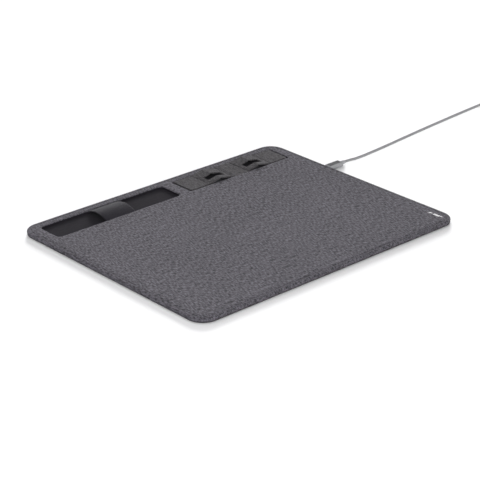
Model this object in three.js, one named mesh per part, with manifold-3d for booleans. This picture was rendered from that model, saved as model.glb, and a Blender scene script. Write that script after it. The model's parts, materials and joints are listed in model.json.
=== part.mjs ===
// A fabric desk mat with a wireless charging pad inside it, a pen tray with an elastic strap, and a fold-up
// phone stand. Millimetres, +Z up. The origin is at the middle of the mat on its underside, +X along the long
// edge towards the USB port, +Y towards the tray and the stand.
import * as THREE from 'three';
import { mergeVertices } from 'three/addons/utils/BufferGeometryUtils.js';
import Module from 'manifold-3d';

const wasm = await Module();
wasm.setup();

// ---- driving dimensions -------------------------------------------------------------------------------

const MAT = { width: 350, depth: 280, top: 5.5, corner: 18 };
const EDGE = { lift: 0.3, roll: 2.3, tuck: 1.9, hem: 3.0 };      // the cover's rolled edge
const SKIN = 0.9;                                                // the cover's thickness on top
const GLUE = 0.1;                                                // a glue line between flat layers
const BASE_SHEET = 0.8;
const PAST = 1;                                                  // a cutting tool runs this far past its cut
const TOUCH = 0.02;                                              // between two pieces that touch

const BAND = { front: 96.8, back: 128.6 };                       // the cut-outs at the back, along Y
const TRAY = { left: -158.6, right: 2.4, front: 95.8, floor: 2.6, lining: 0.5, corner: 5 };
const STRAP = { left: -97.5, right: -59.5, peak: 8.9, end: 4.6, thick: 1.0, inset: 0.5 };

const FOLD = { rest: 10.5, top: 55, mitreSpare: 1 };             // degrees between a panel and the mat
const VALLEY_POCKET = 0.7;                                       // the part of a valley's mitre kept solid
const PANEL = {
  thick: 1.6, length: 17.5, hingeGap: 0.15, front: 97.8, back: 128.2,
  skin: 0.5, wall: 0.8, board: 0.7, boardGap: 0.3, boardLift: 0.1,
};
const CENTRE = { x: 88.6, width: 21.8, sideGap: 0.15 };
const END = { length: 25.2, corner: 1.5 };
const WINDOW = { front: 105.4, back: 114.6, reach: 11.9 };       // the phone slot, half in each sloping panel
const RECESS = { floor: 3.6, lining: 0.5, slide: 2.0, corner: 1.5 };
const MAGNET = { radius: 4, clearance: 0.3, spacing: 15 };
const KEEPER = { length: 44, depth: 20, thick: 0.4, inset: 1 };

const COIL = { x: 120, y: -50, inner: 10, outer: 25, turns: 9, thick: 1.2, groove: 0.25 };
const CARRIER = { radius: 29, wall: 0.8, floor: 0.5, pocketGap: 0.6, notch: 4, notchDepth: 3 };
const FERRITE = { radius: 26.5, thick: 0.6 };
const LEAD = { radius: 0.45, spacing: 2.6, height: 2.9, hole: 3, holeRise: 0.8 };
const CHANNEL = { half: 5, floor: 2.0 };                         // the coil wires' way through the core

const PORT = { y: 50, z: 2.75, clearance: 0.15 };
const HOUSING = { left: 131, right: 171.5, half: 14.8, wall: 0.8, floor: 0.5, gap: 0.3 };
const BOARD = { left: 132.1, right: 166.9, half: 13.7, bottom: 2.3, thick: 0.8, solder: 0.05 };
const SOCKET = { back: 167.2, mouth: 174.4, width: 9.0, height: 3.3, wall: 0.25, end: 0.4 };
const TONGUE = { length: 5.2, width: 6.5, height: 0.7 };

const PLUG = { face: 175.6, reach: 6.6, width: 8.2, height: 2.4, wall: 0.3, end: 0.6 };
const OVERMOULD = { length: 19.4, width: 10.4, height: 5.2, corner: 2.2, round: 1.0 };
const RELIEF = { length: 6.2, wide: 2.3, narrow: 1.85 };
const CABLE = { diameter: 3.0, sides: 8 };
const WINDING = {
  x: 481, y: 50.4, middle: 16.55, turns: 4, pitch: 3.1, spare: 0.1, bottom: 0.95, top: 6.65, chamfer: 1.2,
};
const TIE = { width: 7, thick: 0.6, gap: 0.3, slack: 1.4 };
const USB_A = { x: 502.4, back: 20.8, length: 22, width: 15.4, height: 7.6, corner: 2.6, z: 3.87, relief: 5 };
const USB_A_SHELL = { length: 12, width: 12, height: 4.5, wall: 0.3, corner: 0.4, end: 0.4 };
const USB_A_INSERT = { length: 9.5, width: 11, height: 1.85, gap: 0.05 };
const FACE_GAP = 0.2;                                            // between the cable's pieces, face to face

// ---- looks --------------------------------------------------------------------------------------------

const looks = {
  heather: new THREE.MeshStandardMaterial({ color: 0x5e5b61, roughness: 0.95 }),
  panelFabric: new THREE.MeshStandardMaterial({ color: 0x575757, roughness: 0.9 }),
  lining: new THREE.MeshStandardMaterial({ color: 0x2b2a2f, roughness: 0.95 }),
  elastic: new THREE.MeshStandardMaterial({ color: 0x3f3e43, roughness: 0.9 }),
  rubber: new THREE.MeshStandardMaterial({ color: 0x202022, roughness: 0.85 }),
  foam: new THREE.MeshStandardMaterial({ color: 0x3a3a3a, roughness: 1.0 }),
  greyboard: new THREE.MeshStandardMaterial({ color: 0x8b8276, roughness: 0.95 }),
  magnet: new THREE.MeshStandardMaterial({ color: 0xb9bcc0, roughness: 0.3, metalness: 1 }),
  steel: new THREE.MeshStandardMaterial({ color: 0xa9acb0, roughness: 0.35, metalness: 1 }),
  ferrite: new THREE.MeshStandardMaterial({ color: 0x2e2d2c, roughness: 0.6 }),
  copper: new THREE.MeshStandardMaterial({ color: 0xb06a3c, roughness: 0.35, metalness: 1 }),
  housing: new THREE.MeshStandardMaterial({ color: 0x1d1d1f, roughness: 0.6 }),
  circuit: new THREE.MeshStandardMaterial({ color: 0x17452c, roughness: 0.5 }),
  chip: new THREE.MeshStandardMaterial({ color: 0x151517, roughness: 0.45 }),
  ceramic: new THREE.MeshStandardMaterial({ color: 0xb79a78, roughness: 0.4 }),
  plugPlastic: new THREE.MeshStandardMaterial({ color: 0x5f6062, roughness: 0.5 }),
  cableJacket: new THREE.MeshStandardMaterial({ color: 0x77787a, roughness: 0.55 }),
  tieFabric: new THREE.MeshStandardMaterial({ color: 0x1c1c1e, roughness: 0.9 }),
};

// ---- tools --------------------------------------------------------------------------------------------

const degrees = THREE.MathUtils.degToRad;
const root = new THREE.Group();

function toSolid(geometry) {
  const bare = geometry.clone();
  bare.deleteAttribute('normal');
  bare.deleteAttribute('uv');
  const merged = mergeVertices(bare);
  return new wasm.Manifold(new wasm.Mesh({
    numProp: 3,
    vertProperties: new Float32Array(merged.attributes.position.array),
    triVerts: new Uint32Array(merged.index.array),
  }));
}

function toGeometry(solid) {
  const mesh = solid.getMesh();
  const geometry = new THREE.BufferGeometry();
  geometry.setAttribute('position', new THREE.BufferAttribute(new Float32Array(mesh.vertProperties), 3));
  geometry.setIndex(new THREE.BufferAttribute(new Uint32Array(mesh.triVerts), 1));
  geometry.computeVertexNormals();
  return geometry;
}

function cut(geometry, ...tools) {
  return toGeometry(tools.reduce((solid, tool) => solid.subtract(toSolid(tool)), toSolid(geometry)));
}

function shared(geometry, tool) {
  return toGeometry(toSolid(geometry).intersect(toSolid(tool)));
}

function add(name, geometry, look, group = root) {
  const mesh = new THREE.Mesh(geometry, look);
  mesh.name = name;
  group.add(mesh);
  return mesh;
}

function box(x0, x1, y0, y1, z0, z1) {
  const geometry = new THREE.BoxGeometry(Math.abs(x1 - x0), y1 - y0, z1 - z0);
  return geometry.translate((x0 + x1) / 2, (y0 + y1) / 2, (z0 + z1) / 2);
}

function disc(x, y, radius, z0, z1, sides = 48) {
  const geometry = new THREE.CylinderGeometry(radius, radius, z1 - z0, sides);
  return geometry.rotateX(Math.PI / 2).translate(x, y, (z0 + z1) / 2);
}

function roundedRect(x0, x1, y0, y1, radius) {
  const shape = new THREE.Shape();
  shape.moveTo(x0 + radius, y0);
  shape.lineTo(x1 - radius, y0);
  shape.absarc(x1 - radius, y0 + radius, radius, -Math.PI / 2, 0);
  shape.lineTo(x1, y1 - radius);
  shape.absarc(x1 - radius, y1 - radius, radius, 0, Math.PI / 2);
  shape.lineTo(x0 + radius, y1);
  shape.absarc(x0 + radius, y1 - radius, radius, Math.PI / 2, Math.PI);
  shape.lineTo(x0, y0 + radius);
  shape.absarc(x0 + radius, y0 + radius, radius, Math.PI, Math.PI * 1.5);
  return shape;
}

function prism(shape, z0, z1, curveSegments = 5) {
  const geometry = new THREE.ExtrudeGeometry(shape, { depth: z1 - z0, bevelEnabled: false, curveSegments });
  return geometry.translate(0, 0, z0);
}

// A profile carried along Z from 0 to `length`, with its ends rounded if asked.
function extruded(shape, length, curveSegments, round) {
  return new THREE.ExtrudeGeometry(shape, {
    depth: length - 2 * round, curveSegments,
    bevelEnabled: round > 0, bevelThickness: round, bevelSize: round, bevelOffset: -round, bevelSegments: 3,
  }).translate(0, 0, round);
}

// A profile drawn in X and Z, carried along Y.
function alongY(shape, y0, y1, curveSegments = 4, round = 0) {
  return extruded(shape, y1 - y0, curveSegments, round).rotateX(Math.PI / 2).translate(0, y1, 0);
}

// A profile drawn in Y and Z, carried along X.
function alongX(shape, x0, x1, curveSegments = 4, round = 0) {
  return extruded(shape, x1 - x0, curveSegments, round)
    .rotateX(Math.PI / 2).rotateZ(Math.PI / 2).translate(x0, 0, 0);
}

function polygon(points) {
  return new THREE.Shape(points.map(([x, y]) => new THREE.Vector2(x, y)));
}

// A profile of [radius, height] turned about the vertical line through x, y.
function turned(profile, x, y, sides = 48) {
  const points = profile.map(([radius, height]) => new THREE.Vector2(radius, height));
  return new THREE.LatheGeometry(points, sides).rotateX(Math.PI / 2).translate(x, y, 0);
}

function tube(points, diameter, steps, sides = CABLE.sides) {
  const section = new THREE.Shape();
  section.absarc(0, 0, diameter / 2, 0, Math.PI * 2);
  const path = new THREE.CatmullRomCurve3(points.map((point) => new THREE.Vector3(...point)));
  return new THREE.ExtrudeGeometry(section, { steps, curveSegments: sides / 2, extrudePath: path });
}

// ---- the mat ------------------------------------------------------------------------------------------

function matOutline(inset) {
  const halfWidth = MAT.width / 2 - inset;
  const halfDepth = MAT.depth / 2 - inset;
  return roundedRect(-halfWidth, halfWidth, -halfDepth, halfDepth, MAT.corner - inset);
}

const coreInset = EDGE.hem + GLUE;
const coreTop = MAT.top - SKIN - GLUE;
const coreBottom = BASE_SHEET + GLUE;
const stripReach = CENTRE.width / 2 + END.length;
const restAngle = degrees(FOLD.rest);
const restSpan = 2 * (Math.cos(restAngle) * PANEL.length - Math.sin(restAngle) * PANEL.thick);
const recessReach = stripReach + restSpan + RECESS.slide;

function opening(cutout, grow) {
  const { left, right, front, corner } = cutout;
  return roundedRect(left - grow, right + grow, front - grow, BAND.back + grow, corner + grow);
}

const standOpening = {
  left: CENTRE.x - recessReach, right: CENTRE.x + recessReach, front: BAND.front, corner: RECESS.corner,
};
const portHalf = SOCKET.width / 2 + PORT.clearance;
const leadTurn = PORT.y - 7;                                     // where the coil's wires turn to the circuit

function topCover() {
  const slab = new THREE.ExtrudeGeometry(matOutline(0), {
    depth: MAT.top - EDGE.lift - 2 * EDGE.roll, curveSegments: 8,
    bevelEnabled: true, bevelThickness: EDGE.roll, bevelSize: EDGE.tuck, bevelOffset: -EDGE.tuck,
    bevelSegments: 4,
  }).translate(0, 0, EDGE.lift + EDGE.roll);
  const inside = prism(matOutline(EDGE.hem), -PAST, MAT.top - SKIN, 8);
  const portHole = box(
    MAT.width / 2 - EDGE.hem - PAST, MAT.width / 2 + PAST,
    PORT.y - portHalf, PORT.y + portHalf,
    PORT.z - SOCKET.height / 2 - PORT.clearance, PORT.z + SOCKET.height / 2 + PORT.clearance,
  );
  const through = (cutout) => prism(opening(cutout, 0), MAT.top - SKIN - PAST, MAT.top + PAST);
  return cut(slab, inside, through(TRAY), through(standOpening), portHole);
}

// A fabric-lined recess: a floor, and walls that reach up to the cover.
function liner(cutout, floorTop, lining) {
  const outside = prism(opening(cutout, lining), floorTop - lining, coreTop);
  return cut(outside, prism(opening(cutout, 0), floorTop, MAT.top));
}

const keeperTop = RECESS.floor - RECESS.lining - GLUE;

function coreBoard() {
  const slab = prism(matOutline(coreInset), coreBottom, coreTop, 8);
  const spare = TRAY.lining + GLUE;
  const above = MAT.top + PAST;
  const keeperFloor = keeperTop - KEEPER.thick - 2 * GLUE;
  const housingReach = HOUSING.half + HOUSING.gap;
  const { half, floor } = CHANNEL;
  const channelStart = COIL.y + CARRIER.radius - CARRIER.notchDepth;
  return cut(
    slab,
    prism(opening(TRAY, spare), TRAY.floor - spare, above),
    prism(opening(standOpening, spare), RECESS.floor - spare, above),
    ...[-1, 1].map((side) => keeperBox(side, keeperFloor, RECESS.floor, GLUE)),
    disc(COIL.x, COIL.y, CARRIER.radius + CARRIER.pocketGap, 0, above),
    box(HOUSING.left - HOUSING.gap, MAT.width / 2, PORT.y - housingReach, PORT.y + housingReach, 0, above),
    box(COIL.x - half, COIL.x + half, channelStart, leadTurn + half, floor, above),
    box(COIL.x - half, HOUSING.left, leadTurn - half, leadTurn + half, floor, above),
  );
}

function keeperBox(side, z0, z1, grow) {
  const outer = CENTRE.x + side * (recessReach - KEEPER.inset);
  const inner = outer - side * KEEPER.length;
  const middle = (PANEL.front + PANEL.back) / 2;
  return box(
    Math.min(inner, outer) - grow, Math.max(inner, outer) + grow,
    middle - KEEPER.depth / 2 - grow, middle + KEEPER.depth / 2 + grow, z0, z1,
  );
}

function elasticStrap() {
  const front = TRAY.front + STRAP.inset;
  const back = BAND.back - STRAP.inset;
  const half = (back - front) / 2;
  const rise = STRAP.peak - STRAP.end;
  const radius = (half * half + rise * rise) / (2 * rise);
  const spread = Math.asin(half / radius);
  const middle = (front + back) / 2;
  const centre = STRAP.peak - radius;
  const arch = new THREE.Shape();
  arch.absarc(middle, centre, radius, Math.PI / 2 - spread, Math.PI / 2 + spread);
  arch.absarc(middle, centre, radius - STRAP.thick, Math.PI / 2 + spread, Math.PI / 2 - spread, true);
  return alongX(arch, STRAP.left, STRAP.right, 14);
}

add('base_sheet', prism(matOutline(coreInset), 0, BASE_SHEET, 8), looks.rubber);
add('core_board', coreBoard(), looks.foam);
add('top_cover', topCover(), looks.heather);
add('tray_liner', liner(TRAY, TRAY.floor, TRAY.lining), looks.lining);
add('stand_liner', liner(standOpening, RECESS.floor, RECESS.lining), looks.lining);
add('elastic_strap', elasticStrap(), looks.elastic);

// ---- the phone stand ----------------------------------------------------------------------------------

// Every panel is drawn flat, with its length along X from 0 and its underside at z = 0. `side` is -1 or 1:
// the way that its length runs. An end is 'valley' (hinged along its underside), 'crest' (hinged along its
// top) or 'free' (square, with round corners).
const valleyMitre = Math.tan(degrees(FOLD.top / 2 + FOLD.mitreSpare)) * PANEL.thick;
const crestMitre = Math.tan(degrees(FOLD.top + FOLD.mitreSpare)) * PANEL.thick;

function endOffsets(kind) {
  const bottom = kind === 'crest' ? PANEL.hingeGap + crestMitre : PANEL.hingeGap;
  const top = kind === 'valley' ? PANEL.hingeGap + valleyMitre : PANEL.hingeGap;
  return kind === 'free' ? { bottom: 0, top: 0 } : { bottom, top };
}

function panelSpace(length, ends, inset) {
  const [near, far] = ends.map((kind) => {
    const { bottom, top } = endOffsets(kind);
    return Math.max(bottom, kind === 'valley' ? top * VALLEY_POCKET : top) + inset;
  });
  return { near, far: length - far };
}

function windowBox(length, side, grow) {
  return box(
    side * (length - WINDOW.reach - grow), side * (length + PAST),
    WINDOW.front - grow, WINDOW.back + grow, -PAST, PANEL.thick + PAST,
  );
}

// The outline that gives a panel's free end its round corners. It runs past the panel's hinged end.
function freeEnd(length, side, front, back) {
  const [x0, x1] = [-side * 2 * END.corner, side * length].sort((a, b) => a - b);
  return prism(roundedRect(x0, x1, front, back, END.corner), -PAST, PANEL.thick + PAST);
}

function panelCover({ length, ends, side, hasWindow = false, front = PANEL.front, back = PANEL.back }) {
  const [near, far] = ends.map(endOffsets);
  const profile = polygon([
    [side * near.bottom, 0],
    [side * (length - far.bottom), 0],
    [side * (length - far.top), PANEL.thick],
    [side * near.top, PANEL.thick],
  ]);
  const space = panelSpace(length, ends, PANEL.wall);
  const pocket = box(
    side * space.near, side * space.far,
    front + PANEL.wall, back - PANEL.wall, -PAST, PANEL.thick - PANEL.skin,
  );
  const slab = alongY(profile, front, back);
  if (ends.includes('free')) return cut(shared(slab, freeEnd(length, side, front, back)), pocket);
  if (!hasWindow) return cut(slab, pocket);
  return cut(slab, cut(pocket, windowBox(length, side, PANEL.wall)), windowBox(length, side, 0));
}

function panelBoard({ length, ends, side, hasWindow = false, hasMagnets = false, bottom = PANEL.boardLift }) {
  const inset = PANEL.wall + PANEL.boardGap;
  const space = panelSpace(length, ends, inset);
  const slab = box(
    side * space.near, side * space.far,
    PANEL.front + inset, PANEL.back - inset, bottom, PANEL.boardLift + PANEL.board,
  );
  if (hasWindow) return cut(slab, windowBox(length, side, inset));
  if (hasMagnets) return cut(slab, ...magnetDiscs(side, MAGNET.clearance, -PAST, PANEL.thick));
  return slab;
}

function magnetDiscs(side, grow, z0, z1) {
  const middle = (PANEL.front + PANEL.back) / 2;
  return [-0.5, 0.5].map((place) => disc(
    side * END.length / 2, middle + place * MAGNET.spacing, MAGNET.radius + grow, z0, z1, 24,
  ));
}

const stripBottom = MAT.top - PANEL.thick;

function turnedGroup(parent, x, z, angle) {
  const group = new THREE.Group();
  group.position.set(x, 0, z);
  group.rotation.y = degrees(angle);
  parent.add(group);
  return group;
}

function addPanel(name, group, options) {
  add(`${name}_cover`, panelCover(options), looks.panelFabric, group);
  add(`${name}_board`, panelBoard(options), looks.greyboard, group);
}

function addCentrePanel() {
  const group = turnedGroup(root, CENTRE.x - CENTRE.width / 2, stripBottom, 0);
  addPanel('stand_centre', group, {
    length: CENTRE.width, ends: ['valley', 'valley'], side: 1,
    front: BAND.front + CENTRE.sideGap, back: BAND.back - CENTRE.sideGap,
    bottom: RECESS.floor + GLUE - stripBottom,
  });
}

// One half of the stand: the inner panel turns up on the centre panel's edge, the outer panel turns down from
// the crest, and the end panel stays level as it slides in.
function addWing(name, side) {
  const baseFold = turnedGroup(root, CENTRE.x + side * CENTRE.width / 2, stripBottom, -side * FOLD.rest);
  addPanel(`${name}_inner`, baseFold, {
    length: PANEL.length, ends: ['valley', 'crest'], side, hasWindow: true,
  });
  const crestFold = turnedGroup(baseFold, side * PANEL.length, PANEL.thick, 2 * side * FOLD.rest);
  const outerFrame = turnedGroup(crestFold, side * PANEL.length, -PANEL.thick, 0);
  addPanel(`${name}_outer`, outerFrame, {
    length: PANEL.length, ends: ['valley', 'crest'], side: -side, hasWindow: true,
  });
  const endFold = turnedGroup(outerFrame, 0, 0, -side * FOLD.rest);
  addPanel(`${name}_end`, endFold, {
    length: END.length, ends: ['valley', 'free'], side, hasMagnets: true,
  });
  magnetDiscs(side, 0, PANEL.boardLift, PANEL.boardLift + PANEL.board).forEach((magnet, index) => {
    add(`${name}_magnet_${index + 1}`, magnet, looks.magnet, endFold);
  });
  add(`${name}_keeper`, keeperBox(side, keeperTop - KEEPER.thick, keeperTop, 0), looks.steel);
}

addCentrePanel();
addWing('left', -1);
addWing('right', 1);

// ---- the charger --------------------------------------------------------------------------------------

const ferriteBottom = coreBottom + 2 * GLUE + CARRIER.floor;

function coilCarrier() {
  const { radius, wall, floor, notch, notchDepth } = CARRIER;
  const bottom = coreBottom + GLUE;
  const rim = coreTop - CARRIER.floor - GLUE;
  const tray = turned([
    [0, bottom], [radius, bottom], [radius, rim], [radius - wall, rim],
    [radius - wall, bottom + floor], [0, bottom + floor],
  ], COIL.x, COIL.y);
  const rear = COIL.y + radius;
  const leadNotch = box(
    COIL.x - notch, COIL.x + notch, rear - notchDepth, rear + PAST, CHANNEL.floor, MAT.top,
  );
  return cut(tray, leadNotch);
}

// The flat coil: a ring with one ridge for each turn of its wire.
function chargingCoil() {
  const bottom = ferriteBottom + FERRITE.thick + GLUE;
  const pitch = (COIL.outer - COIL.inner) / COIL.turns;
  const { groove } = COIL;
  const profile = [[COIL.inner, bottom], [COIL.outer, bottom]];
  for (let turn = COIL.turns; turn > 0; turn -= 1) {
    const outer = COIL.inner + turn * pitch;
    profile.push([outer, bottom + COIL.thick - groove]);
    profile.push([outer - pitch / 2, bottom + COIL.thick]);
  }
  profile.push([COIL.inner, bottom + COIL.thick - groove]);
  profile.push([COIL.inner, bottom]);
  return turned(profile, COIL.x, COIL.y, 40);
}

// One of the coil's two wires, beside the middle of their channel.
function coilLead(place) {
  const start = COIL.y + COIL.outer + 0.4;
  const x = COIL.x + place * LEAD.spacing;
  const y = leadTurn - place * LEAD.spacing;
  return tube([
    [x, start, LEAD.height], [x, start + 12, LEAD.height], [x, y - 12, LEAD.height],
    [x + 2, y - 3, LEAD.height], [x + 5, y, LEAD.height], [BOARD.left - 0.3, y, LEAD.height],
  ], 2 * LEAD.radius, 24);
}

add('coil_carrier', coilCarrier(), looks.housing);
add('ferrite_sheet', disc(
  COIL.x, COIL.y, FERRITE.radius, ferriteBottom, ferriteBottom + FERRITE.thick,
), looks.ferrite);
add('charging_coil', chargingCoil(), looks.copper);
add('coil_lid', disc(COIL.x, COIL.y, CARRIER.radius, coreTop - CARRIER.floor, coreTop), looks.housing);
add('coil_lead_1', coilLead(-0.5), looks.copper);
add('coil_lead_2', coilLead(0.5), looks.copper);

function housingHalf(z0, z1, floorIsLow) {
  const { left, right, half, wall, floor } = HOUSING;
  const inside0 = floorIsLow ? z0 + floor : z0 - PAST;
  const inside1 = floorIsLow ? z1 + PAST : z1 - floor;
  const { height, hole, holeRise } = LEAD;
  return cut(
    box(left, right, PORT.y - half, PORT.y + half, z0, z1),
    box(left + wall, right - wall, PORT.y - half + wall, PORT.y + half - wall, inside0, inside1),
    box(SOCKET.back - HOUSING.gap, right + PAST, PORT.y - portHalf, PORT.y + portHalf, 0, MAT.top),
    box(left - PAST, left + PAST, leadTurn - hole, leadTurn + hole, height - holeRise, height + holeRise),
  );
}

add('housing_lower', housingHalf(coreBottom + GLUE, PORT.z - GLUE / 2, true), looks.housing);
add('housing_upper', housingHalf(PORT.z + GLUE / 2, coreTop, false), looks.housing);

const boardTop = BOARD.bottom + BOARD.thick;
add('circuit_board', box(
  BOARD.left, BOARD.right, PORT.y - BOARD.half, PORT.y + BOARD.half, BOARD.bottom, boardTop,
), looks.circuit);

// A component standing on the circuit board, by its middle and its size.
function component(x, y, length, width, height) {
  const bottom = boardTop + BOARD.solder;
  return box(
    x - length / 2, x + length / 2, PORT.y + y - width / 2, PORT.y + y + width / 2, bottom, bottom + height,
  );
}

add('power_chip', component(150, 1, 5, 5, 0.8), looks.chip);
add('control_chip', component(158, 8, 4, 4, 0.75), looks.chip);
add('inductor', component(142, 8, 6, 6, 0.82), looks.ferrite);
[[141, -1], [158, 1], [150, 8]].forEach(([x, y], index) => {
  add(`capacitor_${index + 1}`, component(x, y, 3.2, 1.6, 0.8), looks.ceramic);
});

// A section about the port's axis. Its sides are half round unless a corner radius is given.
function portSection(width, height, corner = height / 2 - TOUCH / 2) {
  const { y, z } = PORT;
  return roundedRect(y - width / 2, y + width / 2, z - height / 2, z + height / 2, corner);
}

function socketShell() {
  const { back, mouth, width, height, wall, end } = SOCKET;
  const outside = alongX(portSection(width, height), back, mouth);
  const inside = alongX(portSection(width - 2 * wall, height - 2 * wall), back + end, mouth + PAST);
  return cut(outside, inside);
}

add('socket_shell', socketShell(), looks.steel);
const tongueBack = SOCKET.back + SOCKET.end + TOUCH;
add('socket_tongue', box(
  tongueBack, tongueBack + TONGUE.length,
  PORT.y - TONGUE.width / 2, PORT.y + TONGUE.width / 2,
  PORT.z - TONGUE.height / 2, PORT.z + TONGUE.height / 2,
), looks.housing);

// ---- the USB cable ------------------------------------------------------------------------------------

function plugShell() {
  const { face, reach, width, height, wall, end } = PLUG;
  const outside = alongX(portSection(width, height), face - reach, face - TOUCH);
  const inside = alongX(portSection(width - 2 * wall, height - 2 * wall), face - reach - PAST, face - end);
  return cut(outside, inside);
}

const overmouldEnd = PLUG.face + OVERMOULD.length;
const reliefStart = overmouldEnd + FACE_GAP;
const cableStart = reliefStart + RELIEF.length + FACE_GAP;

// A tapered sleeve, standing along Y from the origin.
function relief(length) {
  const profile = [[0, 0], [RELIEF.wide, 0], [RELIEF.narrow, length], [0, length]];
  const points = profile.map(([radius, along]) => new THREE.Vector2(radius, along));
  return new THREE.LatheGeometry(points, 16);
}

// The middle of the cable from the strain relief to the coil: out of the plug, down to the table, along it.
const cableRoute = [
  [cableStart, 50.0, 2.75], [206, 50.0, 2.7], [211, 50.05, 2.35], [217, 50.15, 1.85], [224, 50.3, 1.6],
  [232, 50.5, 1.55], [241, 51.1, 1.55], [252, 52.0, 1.55], [264, 53.1, 1.55], [278, 54.5, 1.55],
  [294, 56.2, 1.55], [312, 58.2, 1.55], [332, 60.3, 1.55], [354, 62.5, 1.55], [376, 64.5, 1.55],
  [398, 66.5, 1.55], [420, 68.3, 1.55], [440, 69.8, 1.55], [456, 70.9, 1.55], [468, 71.5, 1.8],
];

const halfBundle = WINDING.turns * WINDING.pitch / 2 + WINDING.spare;

// The solid that the cable's coil fills.
function cableCoil() {
  const inner = WINDING.middle - halfBundle;
  const outer = WINDING.middle + halfBundle;
  const { bottom, top, chamfer } = WINDING;
  return turned([
    [inner, bottom], [outer, bottom], [outer, top - 2 * chamfer], [outer - chamfer, top],
    [inner + chamfer, top], [inner, top - 2 * chamfer], [inner, bottom],
  ], WINDING.x, WINDING.y, 40);
}

// The tie: a band round the coil's bundle of turns, on its far side from the mat.
function coilTie() {
  const { bottom, top } = WINDING;
  const middleY = WINDING.y - WINDING.middle;
  const loop = (grow) => roundedRect(
    middleY - halfBundle - TIE.slack - grow, middleY + halfBundle + TIE.slack + grow,
    bottom - TIE.gap - grow, top + TIE.gap + grow, TIE.gap + grow,
  );
  return cut(
    alongX(loop(TIE.thick), WINDING.x - TIE.width / 2, WINDING.x + TIE.width / 2),
    alongX(loop(0), WINDING.x - TIE.width, WINDING.x + TIE.width),
  );
}

add('usb_c_plug', plugShell(), looks.steel);
add('usb_c_overmould', alongX(
  portSection(OVERMOULD.width, OVERMOULD.height, OVERMOULD.corner),
  PLUG.face, overmouldEnd, 4, OVERMOULD.round,
), looks.plugPlastic);
const portRelief = relief(RELIEF.length).rotateZ(-Math.PI / 2).translate(reliefStart, PORT.y, PORT.z);
add('strain_relief', portRelief, looks.plugPlastic);
add('usb_cable', tube(cableRoute, CABLE.diameter, 60), looks.cableJacket);
add('cable_coil', cableCoil(), looks.cableJacket);
add('coil_tie', coilTie(), looks.tieFabric);

// The far end of the cable, which leaves the coil towards -Y and ends in its plug.
const tailRoute = [[502.3, 37.4, 4.8], [502.4, 33.4, 4.4], [502.4, 29.6, 4.0], [502.4, 26.2, 3.87]];

function usbASection(width, height, corner) {
  return roundedRect(
    USB_A.x - width / 2, USB_A.x + width / 2, USB_A.z - height / 2, USB_A.z + height / 2, corner,
  );
}

const usbAFace = USB_A.back - USB_A.length - TOUCH;

function usbAShell() {
  const { length, width, height, wall, corner, end } = USB_A_SHELL;
  const outside = alongY(usbASection(width, height, corner), usbAFace - length, usbAFace, 2);
  const insideSection = usbASection(width - 2 * wall, height - 2 * wall, corner / 2);
  const inside = alongY(insideSection, usbAFace - length - PAST, usbAFace - end, 2);
  return cut(outside, inside);
}

function usbAInsert() {
  const { length, width, height, gap } = USB_A_INSERT;
  const face = usbAFace - USB_A_SHELL.end - gap;
  const bottom = USB_A.z - USB_A_SHELL.height / 2 + USB_A_SHELL.wall + gap;
  return box(USB_A.x - width / 2, USB_A.x + width / 2, face - length, face, bottom, bottom + height);
}

add('cable_tail', tube(tailRoute, CABLE.diameter, 4), looks.cableJacket);
const usbARelief = relief(USB_A.relief).translate(USB_A.x, USB_A.back + FACE_GAP, USB_A.z);
add('usb_a_relief', usbARelief, looks.plugPlastic);
add('usb_a_overmould', alongY(
  usbASection(USB_A.width, USB_A.height, USB_A.corner),
  USB_A.back - USB_A.length, USB_A.back, 4, OVERMOULD.round,
), looks.plugPlastic);
add('usb_a_plug', usbAShell(), looks.steel);
add('usb_a_insert', usbAInsert(), looks.housing);

export default root;
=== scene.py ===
"""The looks of a fabric desk mat with a wireless charging pad, a pen tray and a fold-up phone stand."""

import json
import math

import bpy
import numpy as np
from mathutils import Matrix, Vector
from mathutils.geometry import delaunay_2d_cdt


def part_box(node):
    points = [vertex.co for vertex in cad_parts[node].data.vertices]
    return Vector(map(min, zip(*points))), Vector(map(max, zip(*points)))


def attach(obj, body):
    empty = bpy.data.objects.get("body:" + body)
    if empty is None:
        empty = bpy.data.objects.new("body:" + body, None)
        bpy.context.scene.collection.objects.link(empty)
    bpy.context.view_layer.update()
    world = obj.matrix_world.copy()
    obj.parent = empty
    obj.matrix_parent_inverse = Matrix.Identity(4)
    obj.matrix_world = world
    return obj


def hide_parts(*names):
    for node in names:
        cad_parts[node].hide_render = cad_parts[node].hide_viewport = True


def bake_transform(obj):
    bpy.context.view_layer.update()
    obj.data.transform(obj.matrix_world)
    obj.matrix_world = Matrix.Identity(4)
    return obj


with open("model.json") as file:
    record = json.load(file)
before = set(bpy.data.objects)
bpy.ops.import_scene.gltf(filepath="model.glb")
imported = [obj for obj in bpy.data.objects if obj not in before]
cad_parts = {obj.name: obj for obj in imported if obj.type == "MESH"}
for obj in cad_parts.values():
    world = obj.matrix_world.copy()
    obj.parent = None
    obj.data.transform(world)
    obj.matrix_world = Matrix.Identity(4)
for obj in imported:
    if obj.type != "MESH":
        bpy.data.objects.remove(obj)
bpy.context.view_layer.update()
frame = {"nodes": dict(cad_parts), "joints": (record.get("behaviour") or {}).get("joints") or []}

# Lengths are in millimetres up to the line that makes a mesh or a curve, and MM turns them into metres.
MM = 0.001

scene = bpy.context.scene
FOLDS = {joint["name"]: Vector(joint["pos_m"]) / MM for joint in frame["joints"] if "pos_m" in joint}


def add_object(name, data):
    thing = bpy.data.objects.new(name, data)
    scene.collection.objects.link(thing)
    return thing


def box_of(node):
    low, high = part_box(node)
    return low / MM, high / MM


# ---- camera ----

CAMERA_TARGET = Vector((-0.02078, -0.02242, 0))
CAMERA_DISTANCE = 1.7810
CAMERA_ELEVATION = math.radians(24.614)
CAMERA_AZIMUTH = math.radians(-42.186)
CAMERA_LENS = 132.70


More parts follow.
